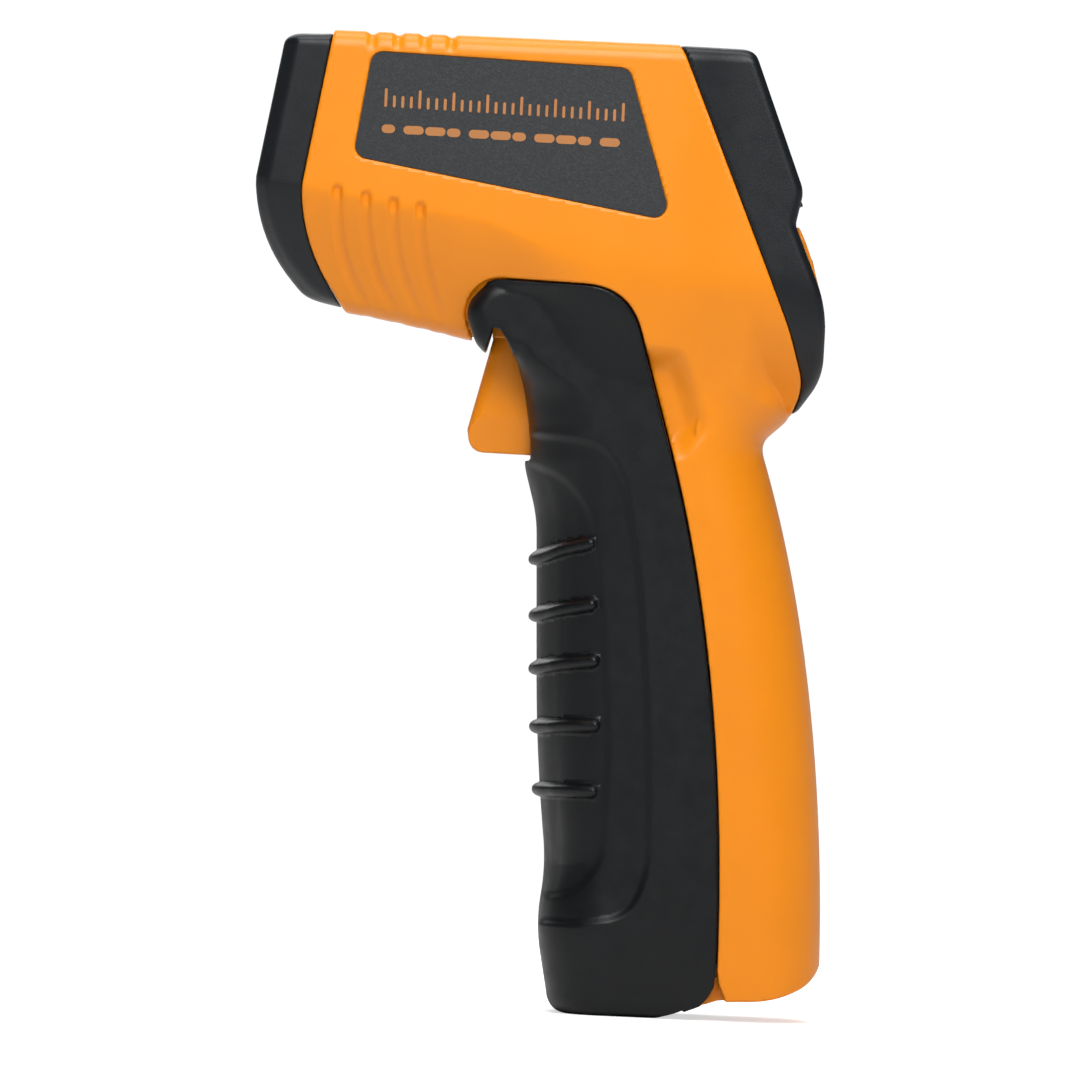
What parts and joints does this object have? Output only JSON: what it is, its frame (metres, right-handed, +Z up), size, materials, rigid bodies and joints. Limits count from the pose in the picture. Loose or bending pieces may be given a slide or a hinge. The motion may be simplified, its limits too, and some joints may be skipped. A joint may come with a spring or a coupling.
{
  "type": "infrared thermometer",
  "caption": "Pistol-shaped non-contact thermometer: lens and aiming light in the nose, rear display with keys, sprung trigger, hinged grip door over a block battery.",
  "frame": {"origin": "centre of the bounding box in X and Y, at the butt of the grip", "axes": "+X is the aiming direction, +Z is up from the butt to the head, +Y is the user's left"},
  "size_m": [0.106, 0.049, 0.1725],
  "materials": {
    "shell_orange": "satin moulded ABS, fine spark texture",
    "trim_black": "satin moulded ABS, charcoal black",
    "grip_black": "satin moulded ABS with a soft sheen",
    "hood_black": "matte, non reflecting",
    "lens_plastic": "milky moulded Fresnel lens",
    "window_clear": "clear polished window",
    "key_grey": "matte silicone keys",
    "label_film": "fine pebbled film with orange print",
    "pin_steel": "ground steel pin",
    "spring_steel": "drawn wire",
    "screw_steel": "zinc plated",
    "switch_black": "moulded component body",
    "board_green": "green solder resist over glass fibre",
    "tube_grey": "moulded grey-black",
    "sensor_can": "nickel plated can",
    "laser_brass": "turned brass",
    "ribbon_cream": "flat flexible cable",
    "wire_red": "PVC insulated wire",
    "wire_black": "PVC insulated wire",
    "lcd_glass": "liquid crystal cell, unlit",
    "light_guide": "milky light guide",
    "contact_rubber": "layered conductive rubber",
    "battery_case": "plain metal jacket",
    "snap_vinyl": "vinyl cover",
    "foam_grey": "closed cell foam"
  },
  "bodies": {
    "housing": {"body_left": "shell_orange", "body_right": "shell_orange", "nose_cap": "trim_black", "lens_hood": "hood_black", "fresnel_lens": "lens_plastic", "lens_ring": "hood_black", "laser_window": "window_clear", "rear_bezel": "trim_black", "display_window": "window_clear", "keypad_plate": "shell_orange", "trigger_pin": "pin_steel", "trigger_spring": "spring_steel", "trigger_switch": "switch_black", "trigger_board": "board_green", "door_hinge_pin": "pin_steel", "label_left": "label_film", "label_right": "label_film", "sensor_tube": "tube_grey", "thermopile": "sensor_can", "sensor_board": "board_green", "sensor_ribbon": "ribbon_cream", "laser_module": "laser_brass", "laser_holder": "tube_grey", "laser_lead_plus": "wire_red", "laser_lead_minus": "wire_black", "main_board": "board_green", "lcd_glass": "lcd_glass", "lcd_backlight": "light_guide", "lcd_frame": "tube_grey", "contact_strips": "contact_rubber", "key_switches": "switch_black", "microcontroller": "switch_black", "buzzer": "switch_black", "battery": "battery_case", "battery_snap": "snap_vinyl", "lead_red": "wire_red", "lead_black": "wire_black", "battery_pad": "foam_grey", "shell_screws": "screw_steel", "board_screws": "screw_steel"},
    "trigger": {"trigger": "shell_orange"},
    "battery_door": {"battery_door": "grip_black"},
    "key_left": {"key_left": "key_grey"},
    "key_right": {"key_right": "key_grey"},
    "key_centre": {"key_centre": "key_grey"}
  },
  "joints": [
    {"name": "trigger_pull", "type": "hinge", "parent": "housing", "child": "trigger", "pos_m": [0.006, 0, 0.1235], "axis": [0, 1, 0], "range_deg": [0, 7], "stiffness_Nm_per_rad": 0.15, "springref_deg": -11.46},
    {"name": "battery_door_open", "type": "hinge", "parent": "housing", "child": "battery_door", "pos_m": [-0.0316, 0, 0.0044], "axis": [0, 1, 0], "range_deg": [0, 70]},
    {"name": "key_left_press", "type": "slide", "parent": "housing", "child": "key_left", "axis": [0.9694, 0, -0.2453], "range_m": [0, 0.0005], "stiffness_N_per_m": 400, "springref_m": -0.0004},
    {"name": "key_right_press", "type": "slide", "parent": "housing", "child": "key_right", "axis": [0.9694, 0, -0.2453], "range_m": [0, 0.0005], "stiffness_N_per_m": 400, "springref_m": -0.0004},
    {"name": "key_centre_press", "type": "slide", "parent": "housing", "child": "key_centre", "axis": [0.9694, 0, -0.2453], "range_m": [0, 0.0005], "stiffness_N_per_m": 400, "springref_m": -0.0004}
  ]
}
